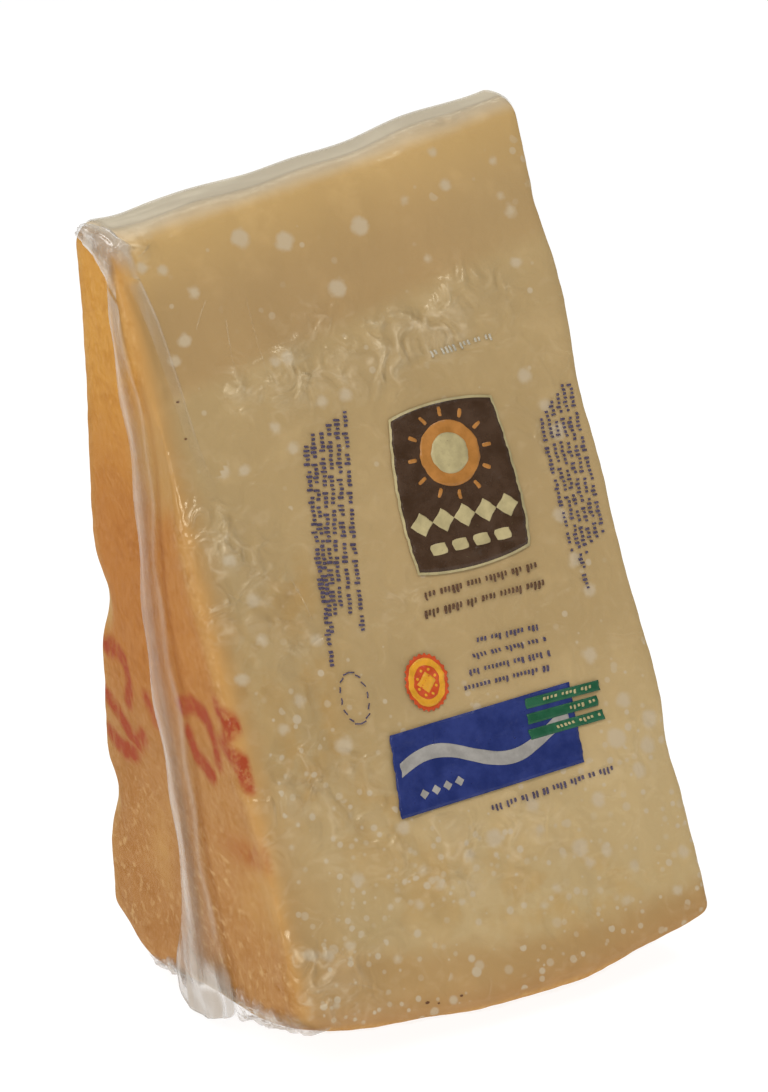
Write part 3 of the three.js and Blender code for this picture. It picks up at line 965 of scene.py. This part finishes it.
def build_end_seal():
    """The crumpled seal that is pressed against the rind's lower edge."""

    def place(grid):
        u, v, w = grid.T
        angle = -u * HALF_ANGLE * SKIRT_REACH
        share = (v + 1) / 2
        hump = np.sin(share * math.pi)
        y = WHEEL_RADIUS * np.sin(angle)
        rise = SKIRT_RISE * smooth(y, 46, -2) * lerp(1, 0.5, smooth(-y, 5, 52))
        rise *= 1 + 0.1 * np.sin(y * 0.7) + 0.06 * np.sin(y * 1.9)
        rise *= 1 - 0.99 * smooth(y, 15, 12.5) * smooth(y, -19.5, -17.3)
        full = smooth(rise, 0, 2.5)
        base = wheel_point(share * 12, WHEEL_RADIUS * np.ones(len(u)), angle)
        crumple = 1.3 * ridges(base, 7, 1.9, sharp=4) + 0.5 * ridges(base, 4, 6.1, sharp=3)
        crumple += 0.3 * cloud(base, 6, 7.3) + 0.15 * cloud(base, 3, 2.2) * smooth(y, 8, -8)
        crumple *= lerp(0.5, 1, smooth(y, 10, -5)) * lerp(1, 0.55, smooth(-y, 32, 48))
        depth = np.where(w > 0, 0.35 + (SKIRT_PROUD * 0.5 + crumple * hump) * full, -0.25 - 0.1 * hump)
        bow = SKIRT_BOW * hump * full
        slope = math.sqrt(0.5)
        x = lerp(SKIRT_RUN, 0, share) - depth * slope - bow
        radius = barrel_radius(HALF_WIDTH) - lerp(0, rise, share) + depth * slope + bow
        points = wheel_point(x - HALF_WIDTH, radius, angle)
        points[:, 2] = np.maximum(points[:, 2], FLAT_DEPTH)
        near = 1 + 0.45 * smooth(np.abs(y + 2), 45, 20) + 0.3 * smooth(y, 8, 14) + 0.5 * bump((y + 26) / 11)
        milk = full * (1.0 - 0.3 * share) * near * lerp(0.5, 1, smooth(share, 1, 0.8))
        return points, np.where(w > 0, milk, 0)

    looks = (0.16, 0.55, (0.5, 0.5, 0.8), 150, 0.8, 1.0, 0.34, 0.12)
    add_milky("film_end_seal", (170, 22, 1), place, *looks)


def along_path(path, share):
    """A smooth curve through the path's points."""
    path = np.array(path, float)
    count = len(path) - 1
    index = np.minimum((share * count).astype(int), count - 1)
    t = (share * count - index)[:, None]
    padded = np.vstack([2 * path[0] - path[1], path, 2 * path[-1] - path[-2]])
    a, b, c, d = (padded[index + k] for k in range(4))
    return 0.5 * (2 * b + (c - a) * t + (2 * a - 5 * b + 4 * c - d) * t**2 + (3 * b - a - 3 * c + d) * t**3)


def build_gather():
    """Pleated, bunched film that runs from the tip's back corner to the top of the seam."""

    def place(grid):
        t, v, w = grid.T
        share = (1 - w) / 2
        spots = lerp(along_path(BUNCH_LEFT, share), along_path(BUNCH_RIGHT, share), ((t + 1) / 2)[:, None])
        spots /= np.abs(spots).max(axis=1, keepdims=True)
        points, normals = wedge_surface(spots)
        hump = np.sqrt(np.clip(1 - t * t, 0, 1)) * lerp(0.4, 1, smooth(share, 0, 0.3))
        hump *= smooth(share, 1.02, 0.8)
        pleats = 0.5 + 0.5 * np.sin(t * 9 + 2.2 * np.sin(share * 4.3) + 0.6)
        lumps = 0.8 * ridges(points, 6.5, 8.5, (1, 1, 1.6), 3) + 0.35 * cloud(points, 4, 3.2)
        proud = 0.12 + hump * np.maximum(0.35 + 0.75 * pleats + lumps * smooth(share, 0, 0.2), 0)
        points = points + normals * np.where(v > 0, proud, -0.05)[:, None]
        milk = smooth(1 - np.abs(t), 0, 0.22) * lerp(1.15, 0.8, smooth(share, 0.75, 1))
        milk *= 0.85 + 0.3 * pleats
        milk *= 1 - 0.9 * smooth(share, 0.8, 1) * smooth(t, -0.8, -0.4) * (1 - 0.45 * smooth(t, 0.6, 0.9))
        return points, np.where(v > 0, milk, 0)

    add_milky("film_gather", (44, 1, 90), place, 0.42, 0.8, (1, 0.6, 0.5), 160, 0.25, 0.9, 0.15)


def build_tip_haze():
    """Milky film over the tip."""

    def place(grid):
        across = lerp(-0.925, 1.14, (grid[:, 0] + 1) / 2)
        low = lerp(-1.1, -0.97, smooth(across, -0.84, -0.91))
        down = lerp(low, 0.96, (grid[:, 1] + 1) / 2)
        drop = 0.8 * np.maximum(-1 - down, 0) + 0.5 * np.maximum(across - 1, 0)
        spots = np.stack([np.minimum(across, 1), np.maximum(down, -1), 1 - drop], -1)
        points, normals = wedge_surface(spots)
        milk = smooth(down, lerp(-1.1, -1.0, smooth(across, -0.8, -0.9)), -0.6) * smooth(across, 1.12, 0.95)
        milk *= smooth(across, -0.94, -0.88)
        crumple = 0.02 * ridges(points, 9, 5.5, (2.2, 1, 1)) + 0.03 * cloud(points, 7, 1.2)
        upper = grid[:, 2] > 0
        lift = np.where(upper, (0.1 + crumple) * milk, -0.06)
        return points + normals * lift[:, None], np.where(upper, milk, 0)

    looks = (0.52, 0.66, (0.3, 1, 1), 70, 0.02, 0.0)
    add_milky("film_tip_haze", (110, 50, 1), place, *looks, colour="tip_haze")


def build_wing():
    """The fold that runs from the bunch down the front cut, with its raised edge."""

    def place(grid):
        u, v, w = grid.T
        share = (1 - w) / 2
        radius = lerp(BUNCH_RADIUS, 104, share)
        width = WING_WIDTH * lerp(1.05, 0.6, share)
        fade = (1 - smooth(share, 0.05, 1)) ** 1.3
        edge = bump((u - 0.75) / 0.17)
        proud = 0.07 + fade * (0.22 * (1 - 0.5 * u * u) + 0.3 * edge) + 0.04 * np.sin(share * 40 + u * 2)
        points = on_front(wing_edge(radius) + (u - 1) * width / 2, radius, np.where(v < 0, proud, 0.01))
        milk = (0.5 + 0.15 * u + 0.7 * edge) * fade * smooth(share, 0, 0.03)
        return points, np.where(v < 0, milk * smooth(u, -1, -0.7) * smooth(u, 1, 0.9), 0)

    add_milky("film_wing", (30, 1, 120), place, 0.25, 0.5, (1, 0.2, 0.1), 300, 0.1, 0.15)


# ---- print

# Fields on the front cut by their corners, as (x, radius): left, right, low right, low left
LABEL = ((0.6, 88.0), (28.9, 87.6), (28.9, 125.0), (-1.3, 125.6))
BANNER = ((-16.1, 156.4), (29.1, 155.0), (28.1, 173.1), (-18.4, 174.6))
SEAL = (-4.2, 147.2, 5.6)  # x, radius and size
BARS = (((17.7, 156.2), (35.9, 156.2)), ((17.2, 159.6), (34.6, 159.4)), ((16.7, 163.0), (35.2, 162.7)))
BAR_HEIGHT = 2.3
SUN = (14.4, 99.5)
DASH_STEP = 0.95


def across_corners(corners, u, v):
    """A point of a four-cornered field, for positions from -1 to 1."""
    a, b, c, d = (np.array(corner) for corner in corners)
    s = ((u + 1) / 2)[:, None]
    t = ((v + 1) / 2)[:, None]
    return lerp(lerp(a, b, s), lerp(d, c, s), t)


def rounding(u, v, share):
    """Pulls a square's corners in: share 1 gives a disc."""
    disc_u = u * np.sqrt(1 - v * v / 2)
    disc_v = v * np.sqrt(1 - u * u / 2)
    return lerp(u, disc_u, share), lerp(v, disc_v, share)


def field(corners, lift, share=0.0, size=1.0, warp=None):
    """A printed field on the front cut, inside four corners."""

    def place(grid):
        u, v = rounding(grid[:, 0], grid[:, 1], share)
        if warp:
            u, v = warp(u, v)
        spot = across_corners(corners, u * np.ravel(size)[0], v * np.ravel(size)[-1])
        jitter = 0.1 * np.sin(spot[:, 1] * 1.3 + 0.7) + 0.07 * np.sin(spot[:, 1] * 3.1)
        return on_front(spot[:, 0] + jitter, spot[:, 1], lift + grid[:, 2] * INK_THICKNESS / 2)

    return place


def square(x, radius, half_x, half_r=None, turn=0.0):
    """Corners of a field round one point, square where only one size is given."""
    half_r = half_r or half_x
    c, s = math.cos(turn), math.sin(turn)
    return [
        (x + a * half_x * c - b * half_r * s, radius + a * half_x * s + b * half_r * c)
        for a, b in ((-1, -1), (1, -1), (1, 1), (-1, 1))
    ]


def ring(x, radius, reach_x, reach_r, count, start=0.0):
    """Evenly spaced places round a point, each with its angle."""
    for angle in start + np.arange(count) * 2 * math.pi / count:
        yield x + reach_x * math.cos(angle), radius + reach_r * math.sin(angle), angle


def dashes(start, end, height, rng, words=(3, 8), lift=0.12):
    """A row of short dashes in groups, from one point to another."""
    start, end = np.array(start), np.array(end)
    length = np.linalg.norm(end - start)
    ahead = (end - start) / length
    side = np.array([-ahead[1], ahead[0]])
    turn = math.atan2(ahead[1], ahead[0])
    places = []
    travelled = 0.0
    left = rng.integers(*words)
    while travelled < length:
        tall = height * rng.choice([0.62, 0.7, 1.0])
        wide = DASH_STEP * rng.uniform(0.5, 0.72)
        middle = start + ahead * (travelled + wide / 2) + side * (tall - height) / 2
        places.append(field(square(*middle, wide / 2, tall / 2, turn), lift, 0.35))
        travelled += DASH_STEP
        left -= 1
        if not left:
            travelled += DASH_STEP * 0.9
            left = rng.integers(*words)
    return places


def add_print(name, colour, places, steps=(18, 18, 1), cover=0.93):
    mesh, _ = placed(name, block(steps), places)
    tint = getattr(settings("ink"), colour)
    add_piece(name, mesh, ink_finish(name + "_ink", tint, cover))


def build_label():
    add_print("label_border", "border", [field(LABEL, 0.1, 0.3, (1.012, 1.009))])
    add_print("label_field", "label", [field(LABEL, 0.16, 0.3, (0.975, 0.98))], (30, 36, 1))
    add_print("label_disc", "ochre", [field(square(*SUN, 7.4), 0.22, 1.0)])
    pale = [field(square(*SUN, 4.6), 0.28, 1.0)]
    pale += [field(square(3.6 + index * 5.3, 113.6, 1.9, turn=math.pi / 4), 0.22) for index in range(5)]
    pale += [field(square(6.1 + index * 5.3, 119.6, 1.9, 1.3), 0.22, 0.4) for index in range(4)]
    add_print("label_motifs", "border", pale, (10, 10, 1))
    rays = [field(square(*spot, 1.1, 0.45, turn), 0.22, 0.5) for *spot, turn in ring(*SUN, 9.4, 9.4, 12)]
    add_print("label_rays", "ochre", rays, (3, 3, 1))


def build_banner():
    def wave(u, v):
        return u, v * 0.17 + 0.34 * np.sin(u * 3.4 + 0.6)

    add_print("banner_field", "banner", [field(BANNER, 0.12)], (50, 22, 1))
    pale = [field(BANNER, 0.18, warp=wave, size=(0.93, 1.0))]
    for index in range(4):
        pale.append(field(square(-11.5 + index * 3.0, 170.6 - index * 0.25, 0.8, turn=math.pi / 4), 0.18))
    add_print("banner_wave", "pale", pale, (56, 8, 1))
    rng = np.random.default_rng(19)
    bars, marks = [], []
    for (start, end), inset in zip(BARS, (4.5, 10.5, 7.0)):
        low = [(end[0], end[1] + BAR_HEIGHT), (start[0], start[1] + BAR_HEIGHT)]
        bars.append(field([start, end, *low], 0.22))
        row = (start[0] + inset, start[1] + BAR_HEIGHT / 2), (end[0] - 1.2, end[1] + BAR_HEIGHT / 2)
        marks += dashes(*row, 1.0, rng, (2, 6), 0.26)
    add_print("banner_bars", "green", bars, (30, 4, 1))
    add_print("banner_marks", "border", marks, (2, 2, 1))


def build_seal():
    def toothed(u, v):
        swing = 1 + 0.035 * np.sin(np.arctan2(v, u) * 26) * smooth(np.hypot(u, v), 0.85, 1)
        return u * swing, v * swing

    x, radius, size = SEAL
    disc = square(x, radius, size * 0.92, size * 1.12)
    add_print("seal_disc", "red", [field(disc, 0.12, 1.0, warp=toothed)], (36, 36, 1))
    add_print("seal_ring", "yellow", [field(disc, 0.17, 1.0, 0.86)])
    add_print("seal_core", "red", [field(disc, 0.22, 1.0, 0.6)])
    drops = [field(square(x, radius, size * 0.3, turn=math.pi / 4), 0.27)]
    drops += [field(square(*spot, 0.34), 0.27, 1.0) for *spot, _ in ring(x, radius, 2.3, 2.9, 8, 0.4)]
    add_print("seal_drops", "yellow", drops, (4, 4, 1))


def build_rows():
    rng = np.random.default_rng(23)
    blue = []
    for index in range(6):
        shift = index * 2.25
        start = (-8.2 - shift * 0.95, 84.0 + shift * 0.5 + rng.uniform(0, 2))
        end = (start[0] - 8.2 + index * 0.35, 124 + rng.uniform(0, 15))
        blue += dashes(start, end, 1.5, rng)
    for index in range(6):
        shift = index * 1.85
        start = (47.6 - shift, 88 + shift * 0.9 + rng.uniform(0, 3))
        end = (start[0] - 1.2, 117 + rng.uniform(0, 15) + shift * 0.6)
        blue += dashes(start, end, 1.2, rng)
    for index in range(4):
        start = (8.0 - index * 1.6 + rng.uniform(0, 2), 141.2 + index * 3.2)
        blue += dashes(start, (26.5 + rng.uniform(-2, 0.5), 141.6 + index * 3.1), 1.45, rng)
    blue += dashes((3.4, 177.6), (34.4, 176.2), 1.6, rng, (2, 6))
    for x, radius, angle in ring(-22.0, 146.6, 3.1, 5.7, 14):
        blue.append(field(square(x, radius, 0.7, 0.16, angle + math.pi / 2), 0.12))
    add_print("dash_rows_blue", "blue_text", blue, (2, 2, 1), 0.68)
    brown = dashes((0.3, 129.0), (27.4, 128.4), 1.9, rng) + dashes((-0.8, 132.9), (28.2, 132.5), 1.9, rng)
    add_print("dash_rows_brown", "brown_text", brown, (2, 2, 1), 0.75)
    white = dashes((15.8, 77.4), (31.8, 76.4), 1.6, rng, (2, 5))
    add_print("dash_row_white", "white_text", white, (2, 2, 1), 0.55)


# ---- stage

CAMERA_AZIMUTH = math.radians(24.164)
CAMERA_ELEVATION = math.radians(12.896)
CAMERA_ROLL = math.radians(-7.906)
CAMERA_DISTANCE = 882.064 * MM
CAMERA_TARGET = Vector((8.207, 0, 99.195)) * MM


def add_camera(look):
    turn = Matrix.Rotation(-CAMERA_AZIMUTH, 4, "Z") @ Matrix.Rotation(math.pi / 2 - CAMERA_ELEVATION, 4, "X")
    turn @= Matrix.Rotation(CAMERA_ROLL, 4, "Z") @ Matrix.Translation((0, 0, CAMERA_DISTANCE))
    data = bpy.data.cameras.new("camera")
    data.lens = look.lens
    data.sensor_fit = "AUTO"
    data.sensor_width = 36
    data.clip_start = 0.01
    data.clip_end = 60
    camera = linked("camera", data)
    camera.matrix_world = Matrix.Translation(CAMERA_TARGET) @ turn
    bpy.context.scene.camera = camera


def add_light(name, place, aim, size, power, tint=(1, 1, 1)):
    data = bpy.data.lights.new(name, "AREA")
    data.shape = "RECTANGLE"
    data.size, data.size_y = size
    data.energy = power
    data.color = tint
    light = linked(name, data)
    light.location = place
    light.rotation_mode = "QUATERNION"
    light.rotation_quaternion = (Vector(aim) - Vector(place)).to_track_quat("-Z", "Y")


def build_stage():
    look = settings("stage")
    bm = bmesh.new()
    bmesh.ops.create_grid(bm, x_segments=1, y_segments=1, size=14)
    mesh = bpy.data.meshes.new("floor")
    bm.to_mesh(mesh)
    bm.free()
    f = Finish("floor_pale")
    shader = f.shade(
        Base_Color=look.floor, Roughness=0.9, Specular_IOR_Level=0.0,
        Emission_Color=(1, 1, 1), Emission_Strength=0.92,
    )
    mesh.materials.append(f.end(shader))
    linked("floor", mesh)

    world = bpy.data.worlds.new("surround")
    world.use_nodes = True
    background = world.node_tree.nodes["Background"]
    background.inputs["Color"].default_value = (1.0, 0.99, 0.97, 1)
    background.inputs["Strength"].default_value = look.world
    bpy.context.scene.world = world
    middle = (0, 0, 0.1)
    add_light("key", (-0.75, -1.0, 1.0), middle, (0.5, 0.5), look.key, (1.0, 0.97, 0.93))
    add_light("glint", (0.15, -0.85, 1.2), middle, (0.2, 0.3), look.key * 0.35)
    add_light("side", (-1.3, -0.2, 0.5), middle, (0.3, 0.6), look.key * 0.3)
    add_light("top", (0.25, 0.35, 1.25), (0, 0, 0.2), (0.7, 0.5), look.key * 0.8)
    bpy.context.scene.view_settings.view_transform = "Standard"
    add_camera(look)


# ---- operators


class CHEESE_OT_stage(bpy.types.Operator):
    """Adds the floor, the soft lights and the camera"""

    bl_idname = "cheese.stage"
    bl_label = "Stage"

    def execute(self, context):
        build_stage()
        return {"FINISHED"}


class CHEESE_OT_chunk(bpy.types.Operator):
    """Adds the cheese with its rind"""

    bl_idname = "cheese.chunk"
    bl_label = "Cheese"

    def execute(self, context):
        build_cheese()
        return {"FINISHED"}


class CHEESE_OT_specks(bpy.types.Operator):
    """Adds the dark specks under the film"""

    bl_idname = "cheese.specks"
    bl_label = "Specks"

    def execute(self, context):
        build_specks()
        return {"FINISHED"}


class CHEESE_OT_film(bpy.types.Operator):
    """Adds the clear film and its scratches"""

    bl_idname = "cheese.film"
    bl_label = "Film"

    def execute(self, context):
        build_skin()
        build_scratches()
        return {"FINISHED"}


class CHEESE_OT_folds(bpy.types.Operator):
    """Adds the seam, the end seal and the bunched film with its fold"""

    bl_idname = "cheese.folds"
    bl_label = "Folded film"

    def execute(self, context):
        build_seam()
        build_end_seal()
        build_gather()
        build_tip_haze()
        build_wing()
        return {"FINISHED"}


class CHEESE_OT_label(bpy.types.Operator):
    """Adds the dark label and its motifs"""

    bl_idname = "cheese.label"
    bl_label = "Label"

    def execute(self, context):
        build_label()
        return {"FINISHED"}


class CHEESE_OT_banner(bpy.types.Operator):
    """Adds the blue banner and the green bars"""

    bl_idname = "cheese.banner"
    bl_label = "Banner"

    def execute(self, context):
        build_banner()
        return {"FINISHED"}


class CHEESE_OT_seal(bpy.types.Operator):
    """Adds the toothed disc"""

    bl_idname = "cheese.seal"
    bl_label = "Round seal"

    def execute(self, context):
        build_seal()
        return {"FINISHED"}


class CHEESE_OT_rows(bpy.types.Operator):
    """Adds the rows of printed dashes"""

    bl_idname = "cheese.rows"
    bl_label = "Rows of dashes"

    def execute(self, context):
        build_rows()
        return {"FINISHED"}


OPERATORS = (
    CHEESE_OT_stage,
    CHEESE_OT_chunk,
    CHEESE_OT_specks,
    CHEESE_OT_film,
    CHEESE_OT_folds,
    CHEESE_OT_label,
    CHEESE_OT_banner,
    CHEESE_OT_seal,
    CHEESE_OT_rows,
)


class CHEESE_PT_panel(bpy.types.Panel):
    bl_label = "Sealed cheese wedge"
    bl_space_type = "VIEW_3D"
    bl_region_type = "UI"
    bl_category = "Cheese"

    def draw(self, context):
        for step in OPERATORS:
            self.layout.operator(step.bl_idname)
        for kind in SETTINGS:
            group = settings(kind)
            for name in group.__annotations__:
                self.layout.prop(group, name)


SETTINGS = {"cheese": CheeseSettings, "film": FilmSettings, "ink": PrintSettings, "stage": StageSettings}


def register():
    for kind, group in SETTINGS.items():
        bpy.utils.register_class(group)
        setattr(bpy.types.Scene, "cheese_" + kind, bpy.props.PointerProperty(type=group))
    for step in OPERATORS:
        bpy.utils.register_class(step)
    bpy.utils.register_class(CHEESE_PT_panel)


def unregister():
    bpy.utils.unregister_class(CHEESE_PT_panel)
    for step in reversed(OPERATORS):
        bpy.utils.unregister_class(step)
    for kind, group in SETTINGS.items():
        delattr(bpy.types.Scene, "cheese_" + kind)
        bpy.utils.unregister_class(group)


def main():
    register()
    for step in OPERATORS:
        family, name = step.bl_idname.split(".")
        getattr(getattr(bpy.ops, family), name)()


if __name__ == "__main__":
    main()
